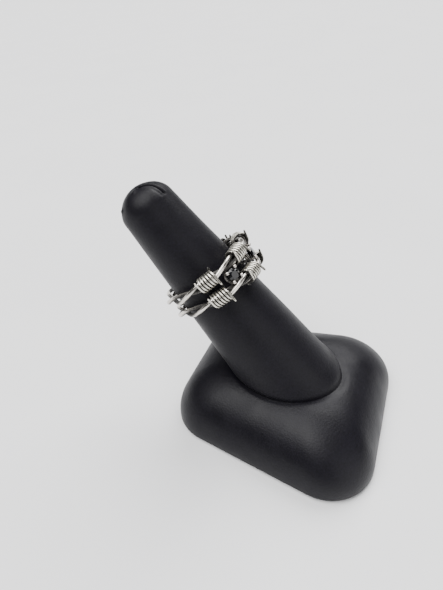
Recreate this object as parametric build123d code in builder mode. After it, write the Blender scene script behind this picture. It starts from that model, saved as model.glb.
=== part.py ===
from build123d import *
import os
from math import ceil, cos, radians, sin, sqrt

# A silver double-band finger ring, made of twisted wire with barbed coils and claw-set stones,
# seated on a leaning display finger that stands on a padded base.
# Origin: centre of the base's underside. +Z is up, and the finger leans towards +Y.

# Driving dimensions, in mm and degrees.
# padded base, a rounded trapezoid in plan
base_length = 59.5
base_width = 50.0
base_taper = 0.164
base_corner = 13.0
base_height = 16.7
edge_run = 17.1
edge_rise = 15.2
corner_shrink = 0.45
dome_steps = 6
skin = 0.8
hem_width = 8.0
liner_inset = 2.0
liner_thickness = 0.6
board_thickness = 4.0

# display finger
lean_angle = 37.4
finger_radius = 12.75
finger_slope = 0.09045
finger_shoulder = 57.8
tip_height = 6.4
tip_arc = 86.0
sleeve_thickness = 1.5
foot_sink = 3.7
peg_radius = 8.0
seam_gap = 0.3
seam_start = 59.0

# countersunk screws that hold the finger to the board
screw_radius = 1.6
screw_head_radius = 3.1
screw_length = 15.0
screw_spacing = 7.0
screw_y = -5.5

# ring: two bands of two twisted wires each
band_radius = 12.35
upper_height = 36.5
lower_height = 31.0
lower_tilt = 1.1
lower_tilt_angle = -130.0
strand_radius = 0.56
twist_radius = 0.8
twists = 4
strand_spans = 72
butt_gap = 0.3
upper_crossing = -84.0
lower_crossing = -79.0
ring_shift = 0.85
ring_shift_angle = 35.0

# barbs: two wires wound side by side round a band
barb_count = 4
barb_first = -54.0
barb_pitch = 49.5
barb_wire_radius = 0.31
coil_radius = 1.8
coil_turns = 3
coil_step = 30
coil_lead = 1.4
coil_drop = 0.1
front_flare = 14.0
front_tail = 2.75
back_flare = 25.0
back_tail = 1.9

# stones and their four-claw settings
stone_count = 3
stone_first = -26.75
stone_lift = 12.95
stone_radius = 1.6
stone_sides = 16
girdle = 0.1
table_radius = 0.92
crown_height = 0.47
culet_radius = 0.08
pavilion_depth = 1.35
claw_spacing = 2.8
claw_radius = 0.33
claw_ball_radius = 0.46
claw_ball_height = 0.35
gallery_height = -0.95
gallery_inner = 1.35
gallery_outer = 2.2
gallery_thickness = 0.5
bridge_radius = 0.3
bridge_reach = 0.35

# Worked out from them.
cover_bottom = liner_thickness
board_bottom = cover_bottom + skin
board_top = board_bottom + board_thickness
edge_start = base_height - edge_rise
foot_level = base_height - foot_sink
core_depth = skin + sleeve_thickness
slot_reach = finger_radius * 2
gallery_middle = (gallery_inner + gallery_outer) / 2
bridge_level = gallery_height - gallery_thickness / 2
lean_sin = sin(radians(lean_angle))
lean_cos = cos(radians(lean_angle))

# The finger's plane has local X across the stand and local Y along the finger.
finger_plane = Plane(
    origin=(0, 0, base_height), x_dir=(1, 0, 0), z_dir=(0, -lean_cos, lean_sin)
)
finger_axis = Axis((0, 0, base_height), (0, lean_sin, lean_cos))

# The ring's plane is square to the finger: local X is the finger's upper side, local Z its tip.
ring_plane = Plane(
    origin=(
        ring_shift * sin(radians(ring_shift_angle)),
        -ring_shift * cos(radians(ring_shift_angle)) * lean_cos,
        base_height + ring_shift * cos(radians(ring_shift_angle)) * lean_sin,
    ),
    x_dir=(0, -lean_cos, lean_sin),
    z_dir=(0, lean_sin, lean_cos),
)


os.makedirs("parts", exist_ok=True)


def pad_section(inset, height):
    """Plan outline of the base, drawn in by inset, at a height."""
    end_y = base_length / 2 - inset
    side_inset = inset * sqrt(1 + base_taper**2)
    near = base_width / 2 + base_taper * end_y - side_inset
    far = base_width / 2 - base_taper * end_y - side_inset
    with BuildSketch(Plane.XY.offset(height)) as section:
        with BuildLine():
            Polyline((-near, -end_y), (near, -end_y), (far, end_y), (-far, end_y), close=True)
        make_face()
        fillet(section.vertices(), base_corner - corner_shrink * inset)
    return section.sketch


def pad_sections(depth, bottom):
    """Outlines from the bottom to the crown of the base, a depth under its outer surface."""
    sections = [pad_section(depth, bottom)]
    for step in range(dome_steps + 1):
        turn = radians(90 * step / dome_steps)
        inset = depth + (edge_run - depth) * (1 - cos(turn))
        height = edge_start + (edge_rise - depth) * sin(turn)
        sections.append(pad_section(inset, height))
    return sections


def finger_profile(depth):
    """Half section of the finger, a depth under its outer surface."""
    foot = -finger_radius
    foot_radius = finger_radius - finger_slope * foot - depth
    shoulder_radius = finger_radius - finger_slope * finger_shoulder - depth
    with BuildSketch(finger_plane) as profile:
        with BuildLine():
            Line((foot_radius, foot), (shoulder_radius, finger_shoulder))
            EllipticalCenterArc(
                (0, finger_shoulder), shoulder_radius, tip_height - depth, arc_size=tip_arc
            )
            tip_level = finger_shoulder + (tip_height - depth) * sin(radians(tip_arc))
            Polyline(
                (shoulder_radius * cos(radians(tip_arc)), tip_level),
                (0, tip_level),
                (0, foot),
                (foot_radius, foot),
            )
        make_face()
    return profile.sketch


def ring_point(angle, radius, height):
    """A point given by its angle round the finger, distance from the ring's axis and height."""
    local = (radius * cos(radians(angle)), radius * sin(radians(angle)), height)
    return ring_plane.from_local_coords(Vector(*local))


def ring_seat(angle, radius, height, along_band):
    """A plane on the band: its Z runs along the band, or out of the ring if along_band is false."""
    centre = ring_plane.from_local_coords(Vector(0, 0, height))
    seat = ring_point(angle, radius, height)
    outward = (seat - centre).normalized()
    along = ring_plane.z_dir.cross(outward)
    if along_band:
        return Plane(origin=seat, x_dir=outward, z_dir=along)
    return Plane(origin=seat, x_dir=along, z_dir=outward)


def upper_level(angle):
    """Height of the upper band along the finger."""
    return upper_height


def lower_level(angle):
    """Height of the lower band, which is tilted so that the bands spread at the stones."""
    return lower_height + lower_tilt * cos(radians(angle - lower_tilt_angle))


def strand_point(angle, level, crossing, phase):
    """Centre of one twisted wire: a point that winds round the band's own circle."""
    turn = radians(twists * (angle - crossing) + phase)
    height = level(angle) + twist_radius * sin(turn)
    return ring_point(angle, band_radius + twist_radius * cos(turn), height)


def tail_points(end, direction, length):
    """The middle and the tip of the straight tail that leaves one end of a helix."""
    return [
        (end[0] + reach * direction[0], end[1] + reach * direction[1], end[2])
        for reach in (length / 2, length)
    ]


def barb_points(start, span, tail):
    """Centre line of one barb wire, wound down from a start angle over a span.

    Local Z runs along the band. The wire is a helix with a straight tail at both ends.
    """
    count = ceil(span / coil_step)
    length = coil_lead * span / 360
    turns = [radians(start - span * step / count) for step in range(count + 1)]
    levels = [length * (step / count - 0.5) for step in range(count + 1)]
    helix = [
        (coil_radius * cos(turn), coil_radius * sin(turn), level)
        for turn, level in zip(turns, levels)
    ]
    tail_in = tail_points(helix[0], (-sin(turns[0]), cos(turns[0])), tail)
    tail_out = tail_points(helix[-1], (sin(turns[-1]), -cos(turns[-1])), tail)
    return tail_in[::-1] + helix + tail_out


with BuildPart() as underside_liner:
    with BuildSketch():
        add(pad_section(liner_inset, 0))
    extrude(amount=liner_thickness)
    with BuildSketch(Plane.XY.offset(liner_thickness)):
        add(pad_section(hem_width, 0))
    extrude(amount=skin)

with BuildPart() as finger_blank:
    add(finger_profile(0))
    revolve(axis=finger_axis)
    split(bisect_by=Plane.XY.offset(foot_level), keep=Keep.TOP)

with BuildPart() as peg_blank:
    with BuildSketch(Plane(origin=(0, 0, base_height), z_dir=finger_axis.direction)):
        Circle(peg_radius)
    extrude(amount=base_height * 2, both=True)
    split(bisect_by=Plane.XY.offset(board_top), keep=Keep.TOP)
    split(bisect_by=Plane.XY.offset(foot_level), keep=Keep.BOTTOM)

with BuildPart() as finger_screws:
    with BuildSketch(Plane.XY.offset(board_bottom)):
        with GridLocations(screw_spacing, 1, 2, 1):
            with Locations((0, screw_y)):
                Circle(screw_radius)
    extrude(amount=screw_length)
    with GridLocations(screw_spacing, 1, 2, 1):
        with Locations((0, screw_y, board_bottom)):
            Cone(
                screw_head_radius,
                screw_radius,
                screw_head_radius - screw_radius,
                align=(Align.CENTER, Align.CENTER, Align.MIN),
            )

with BuildPart() as base_board:
    loft(sections=pad_sections(skin, board_bottom))
    split(bisect_by=Plane.XY.offset(board_top), keep=Keep.BOTTOM)
    add(finger_screws.part, mode=Mode.SUBTRACT)

with BuildPart() as base_padding:
    loft(sections=pad_sections(skin, board_bottom))
    split(bisect_by=Plane.XY.offset(board_top), keep=Keep.TOP)
    add(finger_blank.part, mode=Mode.SUBTRACT)
    add(peg_blank.part, mode=Mode.SUBTRACT)

with BuildPart() as base_cover:
    loft(sections=pad_sections(0, cover_bottom))
    loft(sections=pad_sections(skin, board_bottom), mode=Mode.SUBTRACT)
    with BuildSketch(Plane.XY.offset(cover_bottom)):
        add(pad_section(hem_width, 0))
    extrude(amount=skin, mode=Mode.SUBTRACT)
    add(finger_blank.part, mode=Mode.SUBTRACT)

with BuildPart() as finger_core:
    add(finger_profile(core_depth))
    revolve(axis=finger_axis)
    split(bisect_by=Plane.XY.offset(foot_level), keep=Keep.TOP)
    add(peg_blank.part)
    add(finger_screws.part, mode=Mode.SUBTRACT)

with BuildPart() as finger_padding:
    add(finger_profile(skin))
    revolve(axis=finger_axis)
    add(finger_profile(core_depth))
    revolve(axis=finger_axis, mode=Mode.SUBTRACT)
    split(bisect_by=Plane.XY.offset(foot_level), keep=Keep.TOP)

with BuildPart() as finger_cover:
    add(finger_profile(0))
    revolve(axis=finger_axis)
    add(finger_profile(skin))
    revolve(axis=finger_axis, mode=Mode.SUBTRACT)
    split(bisect_by=Plane.XY.offset(foot_level), keep=Keep.TOP)
    # the leatherette's edges meet in a slit over the tip
    with BuildSketch(finger_plane):
        with Locations((0, seam_start + slot_reach / 2)):
            Rectangle(seam_gap, slot_reach)
    extrude(amount=slot_reach, mode=Mode.SUBTRACT)

stand = {
    "underside_liner": underside_liner,
    "base_board": base_board,
    "base_padding": base_padding,
    "base_cover": base_cover,
    "finger_core": finger_core,
    "finger_padding": finger_padding,
    "finger_cover": finger_cover,
    "finger_screws": finger_screws,
}
for name, piece in stand.items():
    piece.part.label = name
    export_step(piece.part, f"parts/{name}.step")

bands = {"upper": (upper_level, upper_crossing), "lower": (lower_level, lower_crossing)}

for band, (level, crossing) in bands.items():
    for strand, phase in (("a", 180), ("b", 0)):
        with BuildPart() as wire:
            # the wire's two ends butt together at the back of the ring, for soldering
            first = 180 + butt_gap / 2
            spans = [(360 - butt_gap) * step / strand_spans for step in range(strand_spans + 1)]
            points = [strand_point(first + span, level, crossing, phase) for span in spans]
            with BuildLine() as path:
                Spline(points)
            with BuildSketch(Plane(origin=path.line @ 0, z_dir=path.line % 0)):
                Circle(strand_radius)
            sweep()
        wire.part.label = f"{band}_strand_{strand}"
        export_step(wire.part, f"parts/{wire.part.label}.step")

    for index in range(barb_count):
        angle = barb_first + barb_pitch * index
        seat = ring_seat(angle, band_radius - coil_drop, level(angle), True)
        front_span = coil_turns * 360 - 2 * front_flare
        back_span = coil_turns * 360 + 2 * back_flare
        with BuildPart() as barb:
            for start, span, tail in (
                (-front_flare, front_span, front_tail),
                (180 + back_flare, back_span, back_tail),
            ):
                with BuildLine(seat) as path:
                    Spline(barb_points(start, span, tail))
                with BuildSketch(Plane(origin=path.line @ 0, z_dir=path.line % 0)):
                    Circle(barb_wire_radius)
                sweep()
        barb.part.label = f"{band}_barb_{index + 1}"
        export_step(barb.part, f"parts/{barb.part.label}.step")

for index in range(stone_count):
    angle = stone_first + barb_pitch * index
    middle = (upper_level(angle) + lower_level(angle)) / 2
    half_gap = (upper_level(angle) - lower_level(angle)) / 2
    seat = ring_seat(angle, stone_lift, middle, False)

    with BuildPart() as stone:
        for outline, height in ((stone_radius, girdle / 2), (table_radius, girdle / 2 + crown_height)):
            with BuildSketch(seat.offset(height)):
                RegularPolygon(outline, stone_sides)
        loft(ruled=True)
        with BuildSketch(seat.offset(-girdle / 2)):
            RegularPolygon(stone_radius, stone_sides)
        extrude(amount=girdle)
        for outline, height in ((stone_radius, -girdle / 2), (culet_radius, -girdle / 2 - pavilion_depth)):
            with BuildSketch(seat.offset(height)):
                RegularPolygon(outline, stone_sides)
        loft(ruled=True)
    stone.part.label = f"stone_{index + 1}"
    export_step(stone.part, f"parts/{stone.part.label}.step")

    with BuildPart() as setting:
        with BuildSketch(seat.offset(gallery_height)):
            Circle(gallery_outer)
            Circle(gallery_inner, mode=Mode.SUBTRACT)
        extrude(amount=-gallery_thickness)
        with BuildSketch(seat.offset(gallery_height)):
            with GridLocations(claw_spacing, claw_spacing, 2, 2):
                Circle(claw_radius)
        extrude(amount=claw_ball_height - gallery_height)
        with Locations(seat):
            with Locations((0, 0, claw_ball_height)):
                with GridLocations(claw_spacing, claw_spacing, 2, 2):
                    Sphere(claw_ball_radius)
        # a bar each way carries the gallery over to the two bands
        for side in (1, -1):
            start = seat.from_local_coords(Vector(0, side * gallery_middle, bridge_level))
            with BuildSketch(Plane(origin=start, z_dir=seat.y_dir * side)):
                Circle(bridge_radius)
            extrude(amount=half_gap - bridge_reach - gallery_middle)
    setting.part.label = f"setting_{index + 1}"
    export_step(setting.part, f"parts/{setting.part.label}.step")
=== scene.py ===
import math

import bpy
import numpy as np
from mathutils import Matrix, Vector


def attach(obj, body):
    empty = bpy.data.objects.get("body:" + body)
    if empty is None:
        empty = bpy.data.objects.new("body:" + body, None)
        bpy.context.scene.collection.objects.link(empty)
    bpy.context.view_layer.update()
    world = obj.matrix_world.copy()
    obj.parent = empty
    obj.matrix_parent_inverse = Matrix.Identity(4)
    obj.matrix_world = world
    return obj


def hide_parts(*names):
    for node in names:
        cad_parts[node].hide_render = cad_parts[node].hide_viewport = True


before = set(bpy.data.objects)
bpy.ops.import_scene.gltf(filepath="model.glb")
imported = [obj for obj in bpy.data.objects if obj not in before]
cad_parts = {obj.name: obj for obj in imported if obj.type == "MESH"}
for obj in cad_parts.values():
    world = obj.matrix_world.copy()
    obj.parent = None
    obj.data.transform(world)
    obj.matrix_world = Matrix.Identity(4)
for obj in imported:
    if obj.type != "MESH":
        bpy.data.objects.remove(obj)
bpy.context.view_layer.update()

mm = 0.001

# what the whole stand shares, in mm: the finger starts at footHeight over the table and leans to +Y
stand = {
    "footHeight": 16.7,
    "lean": 37.4,
    "ringShift": 0.85,
    "ringShiftAngle": 35.0,
}

lean = math.radians(stand["lean"])
fingerFoot = np.array([0.0, 0.0, stand["footHeight"]])
along = np.array([0.0, math.sin(lean), math.cos(lean)])       # towards the finger's tip
upper = np.array([0.0, -math.cos(lean), math.sin(lean)])      # the finger's upper side
across = np.array([1.0, 0.0, 0.0])
shiftAngle = math.radians(stand["ringShiftAngle"])
shiftWay = math.cos(shiftAngle) * upper + math.sin(shiftAngle) * across
ringFoot = fingerFoot + stand["ringShift"] * shiftWay         # the ring hangs a little off the axis


def polar(foot, angle, radius, height):
    # a point round the finger: foot + height along the axis + radius (cos angle upper + sin angle
    # across)
    angle, radius, height = np.broadcast_arrays(np.radians(angle), radius, height)
    side = np.cos(angle)[..., None] * upper + np.sin(angle)[..., None] * across
    return foot + height[..., None] * along + radius[..., None] * side


def smoothStep(low, high, value):
    # 0 below low, 1 above high, and 3t^2 - 2t^3 between
    t = np.clip((value - low) / (high - low), 0, 1)
    return t * t * (3 - 2 * t)


def ripple(points, size, seed):
    # a smooth unevenness from -1 to 1: the mean of six sine waves in random directions, size mm long
    rng = np.random.default_rng(seed)
    total = np.zeros(points.shape[:-1])
    for _ in range(6):
        way = rng.normal(size=3)
        way /= np.linalg.norm(way)
        length = size * rng.uniform(0.7, 1.4)
        total += np.sin(points @ way * 2 * math.pi / length + rng.uniform(0, 6.28))
    return total / 6


def gridFaces(rows, columns, closeRows, capStart, capEnd, offset=0):
    # quads between neighbours on a grid whose columns close on themselves, and a fan on each capped
    # end; offset is how many points come before the grid's own
    r = np.arange(rows if closeRows else rows - 1)[:, None]
    c = np.arange(columns)[None, :]
    below, above, beside = r * columns, (r + 1) % rows * columns, (c + 1) % columns
    quads = np.stack([below + c, below + beside, above + beside, above + c], -1).reshape(-1, 4)
    faces = (quads + offset).tolist()
    edge = np.arange(columns)
    after = (edge + 1) % columns
    middle = rows * columns
    if capStart:
        fan = np.stack([after, edge, np.full(columns, middle)], -1)
        faces += (fan + offset).tolist()
        middle += 1
    if capEnd:
        last = (rows - 1) * columns
        fan = np.stack([last + edge, last + after, np.full(columns, middle)], -1)
        faces += (fan + offset).tolist()
    return faces


def addPiece(name, points, faces, tone=None, smooth=True):
    # points are in mm; tone is a value from 0 to 1 at each of them, for the material
    mesh = bpy.data.meshes.new(name)
    mesh.from_pydata((points * mm).tolist(), [], faces)
    if tone is not None:
        values = np.ones(len(points), dtype=np.float32)
        values[:len(tone)] = tone
        mesh.attributes.new("tone", "FLOAT", "POINT").data.foreach_set("value", values)
    mesh.polygons.foreach_set("use_smooth", np.full(len(mesh.polygons), smooth))
    mesh.update()
    piece = bpy.data.objects.new(name, mesh)
    bpy.context.scene.collection.objects.link(piece)
    return piece


def addGrid(name, points, tone=None, closeRows=False, capStart=False, capEnd=False):
    # a surface from a rows x columns x 3 array, with a middle point for each capped end
    rows, columns = points.shape[:2]
    flat = points.reshape(-1, 3)
    if capStart:
        flat = np.vstack([flat, points[0].mean(0)])
    if capEnd:
        flat = np.vstack([flat, points[-1].mean(0)])
    return addPiece(name, flat, gridFaces(rows, columns, closeRows, capStart, capEnd),
                    None if tone is None else tone.reshape(-1))


def tube(path, outward, wide, tall, sides, closed=False):
    # a profile carried along a path: centre + cos(q) wide * side + sin(q) tall * outward,
    # where outward is kept square to the path
    if closed:
        ahead = np.roll(path, -1, 0) - np.roll(path, 1, 0)
    else:
        ahead = np.gradient(path, axis=0)
    ahead /= np.linalg.norm(ahead, axis=1, keepdims=True)
    outward = outward - (outward * ahead).sum(1, keepdims=True) * ahead
    outward /= np.linalg.norm(outward, axis=1, keepdims=True)
    side = np.cross(outward, ahead)
    q = np.linspace(0, 2 * math.pi, sides, endpoint=False)
    wide = np.broadcast_to(wide, len(path))[:, None, None]
    tall = np.broadcast_to(tall, len(path))[:, None, None]
    points = path[:, None] + wide * np.cos(q)[None, :, None] * side[:, None]
    return points + tall * np.sin(q)[None, :, None] * outward[:, None], q


def joinPieces(name, parts):
    # several grids as one mesh: each part is (points, tone, closeRows, capped)
    points, faces, tones, offset = [], [], [], 0
    for grid, tone, closeRows, capped in parts:
        rows, columns = grid.shape[:2]
        flat, values = grid.reshape(-1, 3), tone.reshape(-1)
        if capped:
            flat = np.vstack([flat, grid[0].mean(0), grid[-1].mean(0)])
            values = np.append(values, [tone[0].mean(), tone[-1].mean()])
        faces += gridFaces(rows, columns, closeRows, capped, capped, offset)
        points.append(flat)
        tones.append(values)
        offset += len(flat)
    return addPiece(name, np.vstack(points), faces, np.concatenate(tones))


def hexColour(text):
    # an sRGB hex value turned to linear light
    values = [int(text[i:i + 2], 16) / 255 for i in (1, 3, 5)]
    return [v / 12.92 if v <= 0.04045 else ((v + 0.055) / 1.055) ** 2.4 for v in values] + [1.0]


def addNode(tree, kind, settings=None, links=None):
    # adds a node, sets its properties, and fills its inputs with values or with other nodes' outputs
    made = tree.nodes.new(kind)
    for key, value in (settings or {}).items():
        setattr(made, key, value)
    for key, value in (links or {}).items():
        if isinstance(value, bpy.types.NodeSocket):
            tree.links.new(value, made.inputs[key])
        else:
            made.inputs[key].default_value = value
    return made


def startMaterial(name, **surface):
    # a material with a principled shader whose steady values are set on its own sockets
    material = bpy.data.materials.new(name)
    material.use_nodes = True
    tree = material.node_tree
    shader = tree.nodes["Principled BSDF"]
    for key, value in surface.items():
        shader.inputs[key.replace("_", " ")].default_value = value
    place = addNode(tree, "ShaderNodeTexCoord").outputs["Object"]
    return material, tree, shader, place


def linkShader(tree, shader, links):
    # links is a dictionary of the shader's sockets and the outputs that drive them
    for socket, output in links.items():
        tree.links.new(output, shader.inputs[socket])


def perMetre(size):
    # a texture's scale for features of this size in mm, on object coordinates in metres
    return 1000 / size


def dress(piece, material):
    # gives the piece this material and no other
    piece.data.materials.clear()
    piece.data.materials.append(material)


# the camera: its place in mm, the directions it looks and has to its right, and its lens in mm
view = {
    "place": (-83.497, -25.114, 113.104),
    "forward": (0.69798, 0.35518, -0.62183),
    "right": (0.39071, -0.91658, -0.08499),
    "lens": 26.607,
}


def addCamera():
    forward, right = Vector(view["forward"]).normalized(), Vector(view["right"]).normalized()
    up = right.cross(forward)
    turn = Matrix((right, up, -forward)).transposed().to_4x4()
    data = bpy.data.cameras.new("camera")
    data.lens, data.sensor_width, data.clip_start = view["lens"], 36.0, 0.005
    camera = bpy.data.objects.new("camera", data)
    camera.matrix_world = Matrix.Translation(Vector(view["place"]) * mm) @ turn
    bpy.context.scene.collection.objects.link(camera)
    bpy.context.scene.camera = camera


addCamera()
print("camera placed")


def leatherette(name, shiny, dull):
    # PVC-coated cloth, embossed with a fine pebble grain: near black, a soft low gloss, lighter on the
    # pebbles, with faint stretch creases; the pebble is drawn a little coarser than the real 0.4 mm, so
    # that it shows
    grain = {"pebble": 0.5, "depth": 0.04, "crease": 2.6, "creaseDepth": 0.05, "patch": 7.0,
             "warp": 1.6, "warpReach": 0.6}      # mm
    material, tree, shader, place = startMaterial(name, Specular_IOR_Level=0.18)
    warp = addNode(tree, "ShaderNodeTexNoise", None,
                   {"Vector": place, "Scale": perMetre(grain["warp"]), "Detail": 2.0})
    bent = addNode(tree, "ShaderNodeMix", {"data_type": "VECTOR"},
                   {"Factor": grain["warpReach"] * mm, 4: place, 5: warp.outputs["Color"]})
    pebbles = addNode(tree, "ShaderNodeTexVoronoi", {"feature": "SMOOTH_F1"}, {
        "Vector": bent.outputs[1], "Scale": perMetre(grain["pebble"]), "Smoothness": 0.6,
    })
    patches = addNode(tree, "ShaderNodeTexNoise", None,
                      {"Vector": place, "Scale": perMetre(grain["patch"]), "Detail": 3.0})
    height = addNode(tree, "ShaderNodeMapRange", None, {
        "Value": pebbles.outputs["Distance"], "From Max": 0.9, "To Min": 1.0, "To Max": 0.0,
    })
    shade = addNode(tree, "ShaderNodeMath", {"operation": "MULTIPLY"},
                    {0: height.outputs[0], 1: patches.outputs[0]})
    colour = addNode(tree, "ShaderNodeMix", {"data_type": "RGBA"},
                     {"Factor": shade.outputs[0], 6: hexColour("#08070c"), 7: hexColour("#15131c")})
    gloss = addNode(tree, "ShaderNodeMapRange", None, {
        "Value": patches.outputs[0], "From Min": 0.3, "From Max": 0.7, "To Min": shiny, "To Max": dull,
    })
    creases = addNode(tree, "ShaderNodeTexNoise", {"noise_type": "RIDGED_MULTIFRACTAL"}, {
        "Vector": bent.outputs[1], "Scale": perMetre(grain["crease"]), "Detail": 3.0,
    })
    folds = addNode(tree, "ShaderNodeBump", None, {
        "Height": creases.outputs[0], "Strength": 0.5, "Distance": grain["creaseDepth"] * mm,
    })
    bump = addNode(tree, "ShaderNodeBump", None, {
        "Height": height.outputs[0], "Strength": 0.6, "Distance": grain["depth"] * mm,
        "Normal": folds.outputs[0],
    })
    linkShader(tree, shader, {"Base Color": colour.outputs[2], "Roughness": gloss.outputs[0],
                              "Normal": bump.outputs[0]})
    return material


def silver(name, bright, dark, rough):
    # sterling silver, blackened in its recesses and then polished, so that only the high places are
    # bright: the piece's tone is 1 on high places and 0 in recesses, and stands for both the black
    # patina and painted shade in the hollows and between the wires; the stain is uneven by a noise 0.5
    # mm across;
    # the scratches are 0.12 mm apart
    material, tree, shader, place = startMaterial(name)
    tone = addNode(tree, "ShaderNodeAttribute", {"attribute_name": "tone"})
    stain = addNode(tree, "ShaderNodeTexNoise", None,
                    {"Vector": place, "Scale": perMetre(0.5), "Detail": 4.0})
    uneven = addNode(tree, "ShaderNodeMapRange", None, {
        "Value": stain.outputs[0], "From Min": 0.25, "From Max": 0.75, "To Min": -0.2, "To Max": 0.2,
    })
    # the tone's dark places are black patina and painted shade, made uneven by the stain
    patinaAndShade = addNode(tree, "ShaderNodeMath", {"operation": "ADD", "use_clamp": True},
                   {0: tone.outputs["Fac"], 1: uneven.outputs[0]})
    colour = addNode(tree, "ShaderNodeMix", {"data_type": "RGBA"},
                     {"Factor": patinaAndShade.outputs[0], 6: hexColour(dark), 7: hexColour(bright)})
    metal = addNode(tree, "ShaderNodeMapRange", None,
                    {"Value": patinaAndShade.outputs[0], "From Max": 0.5, "To Min": 0.2, "To Max": 1.0})
    gloss = addNode(tree, "ShaderNodeMapRange", None,
                    {"Value": patinaAndShade.outputs[0], "To Min": 0.6, "To Max": rough})
    scratches = addNode(tree, "ShaderNodeTexNoise", None,
                        {"Vector": place, "Scale": perMetre(0.12), "Detail": 2.0})
    bump = addNode(tree, "ShaderNodeBump", None,
                   {"Height": scratches.outputs[0], "Strength": 0.25, "Distance": 0.02 * mm})
    linkShader(tree, shader, {"Base Color": colour.outputs[2], "Metallic": metal.outputs[0],
                              "Roughness": gloss.outputs[0], "Normal": bump.outputs[0]})
    return material


def blackStone():
    # black spinel, faceted and polished: opaque and glassy, with bright reflections in single facets
    material, tree, shader, place = startMaterial("blackSpinel", IOR=1.72, Roughness=0.06,
                                                  Specular_IOR_Level=0.3)
    cloud = addNode(tree, "ShaderNodeTexNoise", None, {"Vector": place, "Scale": perMetre(2.0)})
    colour = addNode(tree, "ShaderNodeMix", {"data_type": "RGBA"},
                     {"Factor": cloud.outputs[0], 6: hexColour("#050506"), 7: hexColour("#121216")})
    linkShader(tree, shader, {"Base Color": colour.outputs[2]})
    return material


def flock():
    # flocked card: short black nylon fibres stood on end, no gloss at all
    material, tree, shader, place = startMaterial("flockedCard", Roughness=0.95)
    fibres = addNode(tree, "ShaderNodeTexNoise", None,
                     {"Vector": place, "Scale": perMetre(0.3), "Detail": 5.0})
    colour = addNode(tree, "ShaderNodeMix", {"data_type": "RGBA"},
                     {"Factor": fibres.outputs[0], 6: hexColour("#0c0c0e"), 7: hexColour("#252429")})
    bump = addNode(tree, "ShaderNodeBump", None,
                   {"Height": fibres.outputs[0], "Strength": 0.6, "Distance": 0.1 * mm})
    linkShader(tree, shader, {"Base Color": colour.outputs[2], "Normal": bump.outputs[0]})
    return material


def foam():
    # cut polyurethane foam: pale cream, matt, with open pores about 0.6 mm across
    material, tree, shader, place = startMaterial("polyurethaneFoam", Roughness=0.9)
    pores = addNode(tree, "ShaderNodeTexVoronoi", None, {"Vector": place, "Scale": perMetre(0.6)})
    colour = addNode(tree, "ShaderNodeMix", {"data_type": "RGBA"}, {
        "Factor": pores.outputs["Distance"], 6: hexColour("#b9ad8c"), 7: hexColour("#e6dfca"),
    })
    bump = addNode(tree, "ShaderNodeBump", None,
                   {"Height": pores.outputs["Distance"], "Strength": 0.5, "Distance": 0.2 * mm})
    linkShader(tree, shader, {"Base Color": colour.outputs[2], "Normal": bump.outputs[0]})
    return material


def fibreboard():
    # pressed fibreboard, sawn: short tangled wood fibres, matt
    material, tree, shader, place = startMaterial("pressedFibreboard", Roughness=0.8)
    fibres = addNode(tree, "ShaderNodeTexNoise", None,
                     {"Vector": place, "Scale": perMetre(0.8), "Detail": 6.0})
    colour = addNode(tree, "ShaderNodeMix", {"data_type": "RGBA"},
                     {"Factor": fibres.outputs[0], 6: hexColour("#6f5638"), 7: hexColour("#a98c62")})
    linkShader(tree, shader, {"Base Color": colour.outputs[2]})
    return material


def turnedPine():
    # turned pine: growth rings about 2 mm apart, satin from the tool; the wave texture repeats every
    # pi / 10 divided by its scale
    material, tree, shader, place = startMaterial("turnedPine", Roughness=0.55)
    rings = addNode(tree, "ShaderNodeTexWave", {"wave_type": "RINGS"}, {
        "Vector": place, "Scale": perMetre(2.0) * math.pi / 10, "Distortion": 3.0, "Detail": 3.0,
    })
    colour = addNode(tree, "ShaderNodeMix", {"data_type": "RGBA"},
                     {"Factor": rings.outputs[0], 6: hexColour("#c69c66"), 7: hexColour("#a87c48")})
    linkShader(tree, shader, {"Base Color": colour.outputs[2]})
    return material


def zincSteel():
    # bright zinc plate on a steel wood screw: slightly yellow, satin, with a cloudy gloss
    material, tree, shader, place = startMaterial("zincPlatedSteel", Metallic=1.0)
    cloud = addNode(tree, "ShaderNodeTexNoise", None,
                    {"Vector": place, "Scale": perMetre(1.0), "Detail": 4.0})
    colour = addNode(tree, "ShaderNodeMix", {"data_type": "RGBA"},
                     {"Factor": cloud.outputs[0], 6: hexColour("#b9b29a"), 7: hexColour("#d8d4c6")})
    gloss = addNode(tree, "ShaderNodeMapRange", None,
                    {"Value": cloud.outputs[0], "To Min": 0.28, "To Max": 0.45})
    linkShader(tree, shader, {"Base Color": colour.outputs[2], "Roughness": gloss.outputs[0]})
    return material


finish = {
    "padLeatherette": leatherette("embossedLeatherette", 0.4, 0.5),
    "fingerLeatherette": leatherette("stretchedLeatherette", 0.45, 0.56),      # more matt, as stretched
    "wire": silver("sterlingSilverWire", "#d8d3cb", "#2a2826", 0.2),
    "barb": silver("sterlingSilverBarb", "#e2ded2", "#1f1d1c", 0.24),
    "setting": silver("oxidisedAndShadedSilverSetting", "#c9c4be", "#171515", 0.28),
    "stone": blackStone(),
    "flock": flock(),
    "foam": foam(),
    "board": fibreboard(),
    "core": turnedPine(),
    "zinc": zincSteel(),
}
print("materials made:", len(finish))


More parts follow.
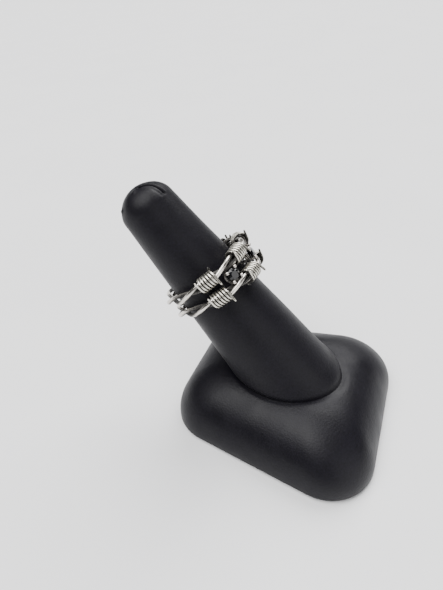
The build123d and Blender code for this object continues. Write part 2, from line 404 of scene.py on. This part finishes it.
# mm, here and in the other pieces' dictionaries, and degrees for angles
finger = {
    "radius": 12.75,
    "slope": 0.09045,        # radius lost for each mm along the axis
    "shoulder": 57.8,        # where the taper ends and the tip begins
    "tip": 6.4,
    "sink": 2.4,             # how far its foot reaches down into the padding
    "skin": 0.75,
    "foam": (0.45, 1.5),     # how far under the cover's skin the foam starts and ends
    "columns": 300,
    "rows": 96,
    "slitSide": -0.12,       # the slit lies this far beside the crown
    "slitBend": -1.0,        # and bends this much further between these distances from the axis
    "bendUp": (6.2, 3.0),
    "slitStart": (58.3, 58.9),      # it fades in between these heights, and these distances
    "slitUp": (2.4, 3.0),
    # the slit, its lip and the fold beside it: height, distance from the slit and width of each
    "ridges": [(-0.6, 0.0, 0.17), (0.22, 0.5, 0.4), (-0.07, -1.2, 0.3), (0.04, -0.6, 0.3)],
    # small gathers over the tip: upper side, sideways, height along the axis and size of each
    "gathers": [(-2.7, -5.3, 61.7, 0.3), (2.3, -2.7, 63.4, 0.25), (3.2, -1.2, 63.4, -0.25),
                (7.3, -0.2, 58.9, -0.1)],
    "gatherArea": 0.5,
    "unevenness": 0.09,      # slow waves all over, twice as high at the tip
    "longWave": 15.0,
    "longGrow": (48.0, 60.0),
    "fineness": 0.05,        # short waves over the tip only
    "shortWave": 5.0,
    "shortGrow": (50.0, 60.0),
    "footBulge": 0.15,       # over the pad the cover swells a little, then tucks in
    "bulgeHeight": 2.2,
    "bulgeWidth": 1.6,
    "footTuck": 0.7,
    "tuckHeight": (-0.5, 1.5),
}


def fingerRadius(s):
    # a straight taper
    return finger["radius"] - finger["slope"] * s


def fingerGap(points):
    # how far a point stands outside the finger's side, square to its axis, and 0 inside it
    rel = points - fingerFoot
    s = rel @ along
    off = rel - s[..., None] * along
    return np.maximum(np.linalg.norm(off, axis=-1) - fingerRadius(s), 0)


def fingerSurface(depth, columns, rows):
    # columns are angles round the axis; rows run from a level foot up the taper and over an elliptical
    # tip: radius = shoulder radius cos t, height = shoulder + tip sin t
    angle = np.linspace(0, 360, columns, endpoint=False)[None, :]
    side = np.cos(np.radians(angle))
    footS = (-finger["sink"] - fingerRadius(-2) * side * math.sin(lean)) / math.cos(lean)
    share = np.linspace(0, 1, rows)[:, None]
    s = footS * (1 - share) + finger["shoulder"] * share
    body = polar(fingerFoot, np.broadcast_to(angle, s.shape), fingerRadius(s) - depth, s)
    t = np.radians(np.linspace(0, 88.5, rows // 3 + 30))[1:, None]
    tipRadius = (fingerRadius(finger["shoulder"]) - depth) * np.cos(t)
    tipS = finger["shoulder"] + (finger["tip"] - depth) * np.sin(t)
    return np.concatenate([body, polar(fingerFoot, angle, tipRadius, tipS)], 0)


def addFinger():
    grid = fingerSurface(0.0, finger["columns"], finger["rows"])
    rel = grid - fingerFoot
    s = rel @ along
    up, sideways = rel @ upper, rel @ across
    tipCentre = fingerFoot + along * (finger["shoulder"] - 2)
    off = rel - s[..., None] * along
    outward = np.where((s > finger["shoulder"])[..., None], grid - tipCentre, off)
    outward /= np.linalg.norm(outward, axis=-1, keepdims=True)
    # the slit over the tip, where the cover's two edges meet: beside it each ridge or groove is
    # height * exp(-((distance - middle) / width)^2)
    away = sideways - finger["slitSide"] - finger["slitBend"] * smoothStep(*finger["bendUp"], up)
    reach = smoothStep(*finger["slitStart"], s) * smoothStep(*finger["slitUp"], up)
    bulge = np.zeros(s.shape)
    for height, middle, width in finger["ridges"]:
        bulge += height * np.exp(-((away - middle) / width) ** 2) * reach
    # the cover was stretched by hand: slow waves, stronger over the tip, and small gathers
    slow, short = ripple(grid, finger["longWave"], 21), ripple(grid, finger["shortWave"], 22)
    bulge += finger["unevenness"] * slow * (1 + smoothStep(*finger["longGrow"], s))
    bulge += finger["fineness"] * short * smoothStep(*finger["shortGrow"], s)
    for knotUp, knotSide, knotS, size in finger["gathers"]:
        apart = (up - knotUp) ** 2 + (sideways - knotSide) ** 2 + (s - knotS) ** 2
        bulge += size * np.exp(-apart / finger["gatherArea"])
    # the cover's lower edge turns in where it meets the pad
    padTop = pad["height"] - pad["topFall"] * (sideways / fingerRadius(s)) ** 2
    above = grid[..., 2] - padTop
    swell = (above - finger["bulgeHeight"]) / finger["bulgeWidth"]
    bulge += finger["footBulge"] * np.exp(-swell ** 2)
    bulge -= finger["footTuck"] * (1 - smoothStep(*finger["tuckHeight"], above))
    cover = addGrid("fingerCover", grid + bulge[..., None] * outward, capEnd=True)
    shell = cover.modifiers.new("skin", "SOLIDIFY")
    shell.thickness, shell.offset = finger["skin"] * mm, -1.0
    dress(cover, finish["fingerLeatherette"])
    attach(cover, "stand")
    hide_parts("finger_cover")

    # a foam sleeve under it: its outer face up to the tip, and its inner face back down
    outer, inner = (fingerSurface(finger["skin"] + depth, 96, 40) for depth in finger["foam"])
    padding = addGrid("fingerPadding", np.concatenate([outer, inner[::-1]], 0), closeRows=True)
    dress(padding, finish["foam"])
    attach(padding, "stand")
    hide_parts("finger_padding")


pad = {
    "length": 59.5,
    "width": 50.0,
    "taper": 0.164,
    "corner": 13.0,
    "cornerShrink": 0.45,
    "height": 16.7,
    "edgeRun": 17.1,
    "edgeRise": 15.2,
    "topFall": 0.62,         # how far the top falls from its middle to the finger's side
    "hem": 8.0,
    "hemBottom": 0.62,
    "roll": 0.9,             # how far the cover rolls in at the table
    "skin": 0.75,
    "fadeIn": (9.0, 14.5),   # crease, puff and puckers are on the top only, above these heights
    "creaseDepth": 0.16,
    "creaseWidth": 0.45,
    "puff": 0.05,            # the cover stands up a little beside the crease
    "puffAway": 3.0,
    "puffWidth": 1.8,
    "pucker": 0.02,
    "puckerAway": 1.2,
    "puckerWidth": 1.3,
    "puckers": (23, 41),     # how many go round, in two overlaid sets
    "unevenness": 0.07,
    "longWave": 17.0,
    "shortWave": 6.0,
    "waveGrow": (1.5, 4.0),  # the waves start above the table
    "foamGap": 0.35,
    "foamFoot": 5.5,         # the foam stops here, at the board
    "foamDip": 0.9,
}


def padOutline(inset, cornerSteps, sideSteps):
    # a trapezoid drawn in by inset, with round corners: each corner's centre lies where the two sides,
    # moved in by inset + radius, cross, and an arc about it joins them
    inset = np.asarray(inset, float)[:, None]
    slope = pad["taper"]
    radius = pad["corner"] - pad["cornerShrink"] * inset
    tilt = math.atan(slope)
    centreY = pad["length"] / 2 - inset - radius
    back = (inset + radius) * math.sqrt(1 + slope * slope)
    nearX = pad["width"] / 2 + slope * centreY - back
    farX = pad["width"] / 2 - slope * centreY - back
    quarter = math.pi / 2
    corners = [
        (nearX, -centreY, -quarter, tilt),
        (farX, centreY, tilt, quarter),
        (-farX, centreY, quarter, math.pi - tilt),
        (-nearX, -centreY, math.pi - tilt, 3 * quarter),
    ]
    arcs = []
    for x, y, first, last in corners:
        turn = np.linspace(first, last, cornerSteps)[None, :]
        arcs.append(np.stack([x + radius * np.cos(turn), y + radius * np.sin(turn)], -1))
    pieces = []
    share = np.linspace(0, 1, sideSteps + 2)[1:-1][None, :, None]
    for i, arc in enumerate(arcs):
        following = arcs[(i + 1) % 4]
        pieces += [arc, arc[:, -1:] * (1 - share) + following[:, :1] * share]
    return np.concatenate(pieces, 1)


def padSurface(depth):
    # rows of outlines: in under the hem, round the lower roll, up the side and over the dome, where
    # inset = run (1 - cos t) and height = start + rise sin t, then in to the middle
    start = pad["height"] - pad["edgeRise"]
    bottom = pad["hemBottom"] + depth
    under = np.linspace(pad["hem"], pad["roll"], 8)
    turn = np.linspace(-math.pi / 2, 0, 10)[1:]
    rise = np.linspace(0, math.pi / 2, 74)[1:]
    inset = np.concatenate([
        under,
        depth + pad["roll"] * (1 - np.cos(turn)),
        depth + (pad["edgeRun"] - depth) * (1 - np.cos(rise)),
    ])
    height = np.concatenate([
        np.full(len(under), bottom),
        bottom + pad["roll"] * (1 + np.sin(turn)),
        start + (pad["edgeRise"] - depth) * np.sin(rise),
    ])
    outline = padOutline(inset, cornerSteps=26, sideSteps=66)
    level = np.broadcast_to(height[:, None, None], outline.shape[:2] + (1,))
    grid = np.concatenate([outline, level], -1)
    share = np.linspace(0, 1, 30)[1:-1][:, None, None]
    inner = grid[-1][None] * (1 - share) + grid[-1].mean(0) * share
    return np.concatenate([grid, inner], 0)


def addBase():
    grid = padSurface(0.0)
    gap = fingerGap(grid)
    top = smoothStep(*pad["fadeIn"], grid[..., 2])
    # the cover dives into the crease round the finger, stands up a little beside it, and puckers
    # towards it: each is height * exp(-((gap - distance) / width)^2)
    crease = np.exp(-(gap / pad["creaseWidth"]) ** 2)
    puff = np.exp(-((gap - pad["puffAway"]) / pad["puffWidth"]) ** 2)
    bearing = np.arctan2(grid[..., 1], grid[..., 0])
    pucker = np.exp(-((gap - pad["puckerAway"]) / pad["puckerWidth"]) ** 2)
    few, many = pad["puckers"]
    pucker *= (np.sin(bearing * few + 1) + np.sin(bearing * many)) / 2
    grid[..., 2] += top * (pad["puff"] * puff - pad["creaseDepth"] * crease + pad["pucker"] * pucker)
    # slow and short waves over the side and top
    side = smoothStep(*pad["waveGrow"], grid[..., 2])
    outward = grid - np.array([0, 0, 2.0])
    outward /= np.linalg.norm(outward, axis=-1, keepdims=True)
    wave = ripple(grid, pad["longWave"], 4) + 0.5 * ripple(grid, pad["shortWave"], 9)
    grid += (pad["unevenness"] * wave * side * (1 - crease))[..., None] * outward
    cover = addGrid("baseCover", grid, capEnd=True)
    shell = cover.modifiers.new("skin", "SOLIDIFY")
    shell.thickness, shell.offset = pad["skin"] * mm, -1.0
    dress(cover, finish["padLeatherette"])
    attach(cover, "stand")
    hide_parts("base_cover")

    # the foam under the cover stops at the board, and the finger stands in it
    lump = padSurface(pad["skin"] + pad["foamGap"])
    lump = lump[lump[:, 0, 2] > pad["foamFoot"]]
    dip = np.exp(-(fingerGap(lump) / pad["foamDip"]) ** 2)
    lump[..., 2] -= pad["foamDip"] * dip * smoothStep(*pad["fadeIn"], lump[..., 2])
    foamDome = addGrid("basePadding", lump, capStart=True, capEnd=True)
    dress(foamDome, finish["foam"])
    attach(foamDome, "stand")
    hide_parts("base_padding")


band = {
    "radius": 12.35,
    "upperHeight": 36.5,
    "lowerHeight": 31.0,
    "lowerTilt": 1.1,
    "lowerTiltAngle": -130.0,
    "twist": 0.8,
    "twists": 4,
    "upperCrossing": -84.0,
    "lowerCrossing": -79.0,
    "wide": 0.58,
    "tall": 0.54,
    "unevenness": 0.03,
    "steps": 720,
    "sides": 22,
}


def bandHeight(name, angle):
    # the upper band is square to the finger, and the lower one is tilted:
    # height + tilt cos(angle - tilt angle)
    angle = np.asarray(angle, float)
    if name == "upper":
        return band["upperHeight"] + 0 * angle
    return band["lowerHeight"] + band["lowerTilt"] * np.cos(np.radians(angle - band["lowerTiltAngle"]))


def addStrand(name, phase):
    # a wire that winds round the band's circle: radius + twist cos w, height + twist sin w, where
    # w = twists * angle
    angle = np.linspace(0, 360, band["steps"], endpoint=False)
    turn = np.radians(band["twists"] * (angle - band[name + "Crossing"]) + phase)
    height = bandHeight(name, angle)
    middle = polar(ringFoot, angle, band["radius"], height)
    path = polar(ringFoot, angle, band["radius"] + band["twist"] * np.cos(turn),
                 height + band["twist"] * np.sin(turn))
    uneven = 1 + band["unevenness"] * ripple(path, 5.0, 31 + int(phase))
    points, q = tube(path, path - middle, band["wide"] * uneven, band["tall"] * uneven, band["sides"],
                     closed=True)
    # dark where the wire faces its twin: black patina and painted shade between the two wires
    tone = np.broadcast_to(smoothStep(-0.3, 1.0, np.sin(q)), points.shape[:2])
    wire = addGrid(name + "Strand" + ("A" if phase else "B"), points, tone=tone, closeRows=True)
    dress(wire, finish["wire"])
    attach(wire, "ring")
    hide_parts(name + "_strand_" + ("a" if phase else "b"))


barb = {
    "count": 4,
    "first": -54.0,
    "pitch": 49.5,
    "turns": 3,
    "wire": 0.29,
    "coil": 1.8,
    "lead": 1.4,
    "drop": 0.1,
    "frontFlare": 14.0,
    "frontTail": [2.75, 2.5, 2.3, 2.45],      # one for each barb, cut by hand
    "backFlare": 25.0,
    "backTail": 1.9,
    "point": 0.35,           # length of the rounded end of each tail
    "stepAngle": 7,
    "tailSteps": 16,
    "tailGap": 0.06,         # from a tail to the coil's first step
    "sides": 14,
}


def barbWire(name, angle, start, span, tail, swell):
    # a helix about the band: coil radius (cos w outwards + sin w towards the tip), with a straight tail
    # at both ends
    w = np.radians(np.linspace(start, start - span, int(span / barb["stepAngle"])))
    step = barb["lead"] * (np.linspace(0, span, len(w)) - span / 2) / 360
    tailIn = np.array([-math.sin(w[0]), math.cos(w[0])])
    tailOut = np.array([math.sin(w[-1]), -math.cos(w[-1])])
    flat = barb["coil"] * np.stack([np.cos(w), np.sin(w)], -1)
    run = np.linspace(tail, barb["tailGap"], barb["tailSteps"])[:, None]
    flat = np.vstack([flat[0] + run * tailIn, flat, flat[-1] + run[::-1] * tailOut])
    step = np.concatenate([np.full(len(run), step[0]), step, np.full(len(run), step[-1])])
    here = angle + np.degrees(step / band["radius"])
    centre = polar(ringFoot, here, band["radius"] - barb["drop"], bandHeight(name, here))
    turn = np.radians(here)[:, None]
    outward = np.cos(turn) * upper + np.sin(turn) * across
    path = centre + flat[:, :1] * outward + flat[:, 1:] * along
    # thinner towards each cut point
    order = np.arange(len(path))
    ends = np.minimum(order, order[::-1]) * tail / len(run)
    size = barb["wire"] * (0.5 + 0.5 * np.sqrt(np.clip(ends / barb["point"], 0, 1))) * swell
    points, q = tube(path, path - centre, size, size, barb["sides"])
    # the tone darkens the coil's inner side, towards the band: black patina and painted shade
    return points, np.broadcast_to(smoothStep(0.45, 1.0, np.sin(q)), points.shape[:2]), False, True


def addBarb(name, index):
    # two wires wound side by side, a little thicker or thinner from barb to barb
    angle = barb["first"] + barb["pitch"] * index
    front = barb["turns"] * 360 - 2 * barb["frontFlare"]
    back = barb["turns"] * 360 + 2 * barb["backFlare"]
    swell = 1 + 0.04 * math.sin(7 * index + len(name))
    piece = joinPieces(f"{name}Barb{index + 1}", [
        barbWire(name, angle, -barb["frontFlare"], front, barb["frontTail"][index], swell),
        barbWire(name, angle, 180 + barb["backFlare"], back, barb["backTail"], swell),
    ])
    dress(piece, finish["barb"])
    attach(piece, "ring")
    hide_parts(f"{name}_barb_{index + 1}")


jewel = {
    "count": 3,
    "first": -26.75,
    "lift": 12.95,
    "radius": 1.6,
    "table": 0.92,
    "crown": 0.47,
    "girdle": 0.05,
    "pavilion": 1.35,        # depth under the girdle
    "claw": 1.4,             # half the spacing of the claws
    "clawWire": 0.33,
    "clawLean": 0.1,         # how much further out a claw stands halfway up
    "clawFoot": 0.25,        # how far it reaches below the gallery
    "ball": 0.47,
    "ballHeight": 0.35,
    "galleryHeight": -1.2,
    "galleryRadius": 1.78,
    "galleryWire": 0.4,
    "galleryFlat": 0.7,
    "bridgeReach": 0.35,
    "bridgeWide": 0.38,
    "bridgeTall": 0.3,
    "sides": 14,
}


def jewelFrame(index):
    # the stone's seat: its middle, its directions along the band and outwards, and half the bands' gap
    angle = jewel["first"] + barb["pitch"] * index
    high, low = float(bandHeight("upper", angle)), float(bandHeight("lower", angle))
    seat = polar(ringFoot, angle, jewel["lift"], (high + low) / 2)
    turn = math.radians(angle)
    outward = math.cos(turn) * upper + math.sin(turn) * across
    return seat, np.cross(along, outward), outward, (high - low) / 2


def addStone(index):
    # a brilliant cut: rings of corners at the table, the stars, the girdle, the lower facets and the
    # culet, each corner at radius (cos w along the band + sin w towards the tip) + height outwards
    seat, side, outward, _ = jewelFrame(index)

    def corners(count, radius, height, start):
        w = 2 * math.pi * (np.arange(count) + start) / count
        flat = np.stack([radius * np.cos(w), radius * np.sin(w)], -1)
        return seat + flat[:, :1] * side + flat[:, 1:] * along + height * outward

    radius, table, rim = jewel["radius"], jewel["table"], jewel["girdle"]
    points = np.vstack([
        corners(8, table, rim + jewel["crown"], 0.0),
        corners(8, 0.5 * (radius + table) * 1.03, rim + 0.55 * jewel["crown"], 0.5),
        corners(16, radius, rim, 0.0),
        corners(16, radius, -rim, 0.0),
        corners(8, 0.55 * radius, -rim - 0.5 * jewel["pavilion"], 0.5),
        seat[None] - (rim + jewel["pavilion"]) * outward,
    ])
    i = np.arange(8)
    j, star, low, culet = (i + 1) % 8, 8 + i, 48 + i, np.full(8, 56)
    g0, g1, g2 = 16 + 2 * i, 17 + 2 * i, 16 + (2 * i + 2) % 16
    facets = np.array([
        (i, star, j), (i, g0, star), (star, g0, g1), (star, g1, g2), (star, g2, j),
        (g0 + 16, low, g1 + 16), (g1 + 16, low, g2 + 16), (g2 + 16, low, culet), (low, g0 + 16, culet),
    ])
    edges = np.array([(g0, g0 + 16, g1 + 16, g1), (g1, g1 + 16, g2 + 16, g2)])
    faces = [list(range(8))]
    faces += facets.transpose(2, 0, 1).reshape(-1, 3).tolist()
    faces += edges.transpose(2, 0, 1).reshape(-1, 4).tolist()
    stone = addPiece(f"stone{index + 1}", points, faces, smooth=False)
    dress(stone, finish["stone"])
    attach(stone, "ring")
    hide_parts(f"stone_{index + 1}")


def ballGrid(centre, radius, side, outward):
    # a small sphere: radius (cos t cos w, cos t sin w, sin t), open by a hair at both poles and closed
    # by its caps
    t = np.radians(np.linspace(-86, 86, 15))[:, None]
    w = np.linspace(0, 2 * math.pi, 20, endpoint=False)[None, :]
    flat = radius * np.cos(t)
    return (centre + (flat * np.cos(w))[..., None] * side + (flat * np.sin(w))[..., None] * along
            + (radius * np.sin(t) + 0 * w)[..., None] * outward)


def addSetting(index):
    seat, side, outward, halfGap = jewelFrame(index)

    def spot(x, y, z):
        # a point from its distances along the band, towards the tip and outwards
        x, y, z = (part[..., None] for part in np.broadcast_arrays(x, y, z))
        return seat + x * side + y * along + z * outward

    def even(tone, points):
        # one tone for each row of a grid, or for all of it
        return np.broadcast_to(tone, points.shape[:2])

    gallery, wire, sides, parts = jewel["galleryHeight"], jewel["galleryWire"], jewel["sides"], []
    # a ring of wire under the stone, dark but for its rim: black patina and painted shade under the
    # stone
    w = np.linspace(0, 2 * math.pi, 64, endpoint=False)
    circle = spot(jewel["galleryRadius"] * np.cos(w), jewel["galleryRadius"] * np.sin(w), gallery)
    points, q = tube(circle, circle - spot(0, 0, gallery), wire * jewel["galleryFlat"], wire, sides,
                     closed=True)
    parts.append((points, even(0.3 * smoothStep(0.1, 1.0, np.sin(q)), points), True, False))
    # four claws: wires that lean out a little and carry a ball over the stone's edge
    t = np.linspace(0, 1, 14)
    reach = jewel["claw"] * (1 + jewel["clawLean"] * np.sin(math.pi * t))
    foot = gallery - jewel["clawFoot"]
    lift = foot + (jewel["ballHeight"] - foot) * t
    beside = np.tile(side, (len(t), 1))
    for x in (-1, 1):
        for y in (-1, 1):
            path = spot(x * reach, y * reach, lift)
            points, _ = tube(path, beside, jewel["clawWire"], jewel["clawWire"], sides)
            # the claws darken towards their feet: black patina and painted shade under the stone
            parts.append((points, even((0.1 + 0.6 * t)[:, None], points), False, True))
            centre = spot(x * jewel["claw"], y * jewel["claw"], jewel["ballHeight"])
            ball = ballGrid(centre, jewel["ball"], side, outward)
            parts.append((ball, even(1.0, ball), False, True))
    # a bar each way, soldered to the bands
    t = np.linspace(0, 1, 10)
    near, far = jewel["galleryRadius"], halfGap - jewel["bridgeReach"]
    away = near + (far - near) * t
    upright = np.tile(outward, (len(t), 1))
    for way in (-1, 1):
        path = spot(0, way * away, gallery)
        points, _ = tube(path, upright, jewel["bridgeWide"], jewel["bridgeTall"], sides)
        # the bars stay dark: black patina and painted shade between the bands, under the stone
        parts.append((points, even(0.35, points), False, True))
    piece = joinPieces(f"setting{index + 1}", parts)
    dress(piece, finish["setting"])
    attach(piece, "ring")
    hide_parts(f"setting_{index + 1}")


addBase()
print("padded base made")
addFinger()
print("finger made")
for name in ("upper", "lower"):
    for phase in (180, 0):
        addStrand(name, phase)
    for index in range(barb["count"]):
        addBarb(name, index)
print("bands made")
for index in range(jewel["count"]):
    addStone(index)
    addSetting(index)
print("stones set")

for node, look in (("underside_liner", "flock"), ("base_board", "board"), ("finger_core", "core"),
                   ("finger_screws", "zinc")):
    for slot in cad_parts[node].material_slots:
        slot.material = finish[look]


table = {
    "reach": 30000.0,        # far enough that no view sees past it
    "cloud": 60.0,
}


def addStage():
    # a wide sheet of matt white board, a little cloudy
    material, tree, shader, place = startMaterial("mattBoard", Roughness=0.9)
    tooth = addNode(tree, "ShaderNodeTexNoise", None,
                    {"Vector": place, "Scale": perMetre(table["cloud"]), "Detail": 2.0})
    colour = addNode(tree, "ShaderNodeMix", {"data_type": "RGBA"},
                     {"Factor": tooth.outputs[0], 6: hexColour("#e2e2e3"), 7: hexColour("#e8e8e9")})
    linkShader(tree, shader, {"Base Color": colour.outputs[2]})
    corners = table["reach"] * np.array([[-1, -1, 0], [1, -1, 0], [1, 1, 0], [-1, 1, 0]])
    floor = addPiece("floor", corners, [[0, 1, 2, 3]], smooth=False)
    dress(floor, material)


# each lamp: where it shines from in mm, how many degrees it spans, and its strength in watts per
# square metre
light = {
    "overhead": {"place": (-230.0, 215.0, 850.0), "spread": 52.0, "strength": 4.9},
    "far": {"place": (900.0, -100.0, 1100.0), "spread": 45.0, "strength": 4.3},
    "window": {"place": (-420.0, -900.0, 330.0), "spread": 48.0, "strength": 1.3},
    "sky": 0.1,
    "backdrop": 2.1,         # how bright the room looks behind the stage
}


def addLight(name, place, spread, strength):
    # a wide, far lamp, so that shadows are soft and the floor is even
    data = bpy.data.lights.new(name, "SUN")
    data.angle, data.energy = math.radians(spread), strength
    lamp = bpy.data.objects.new(name, data)
    lamp.location = Vector(place) * mm
    lamp.rotation_euler = (Vector((0, 10, 30)) - Vector(place)).to_track_quat("-Z", "Y").to_euler()
    bpy.context.scene.collection.objects.link(lamp)


def addRoom():
    # the room looks pale behind the stage, but gives only a faint light of its own
    world = bpy.data.worlds.new("room")
    world.use_nodes = True
    tree = world.node_tree
    seen = addNode(tree, "ShaderNodeLightPath").outputs["Is Camera Ray"]
    glow = addNode(tree, "ShaderNodeMapRange", None,
                   {"Value": seen, "To Min": light["sky"], "To Max": light["backdrop"]})
    tree.nodes["Background"].inputs["Color"].default_value = hexColour("#f2f4f6")
    linkShader(tree, tree.nodes["Background"], {"Strength": glow.outputs[0]})
    bpy.context.scene.world = world


addStage()
for name in ("overhead", "far", "window"):
    addLight(name, **light[name])
addRoom()
print("stage lit")
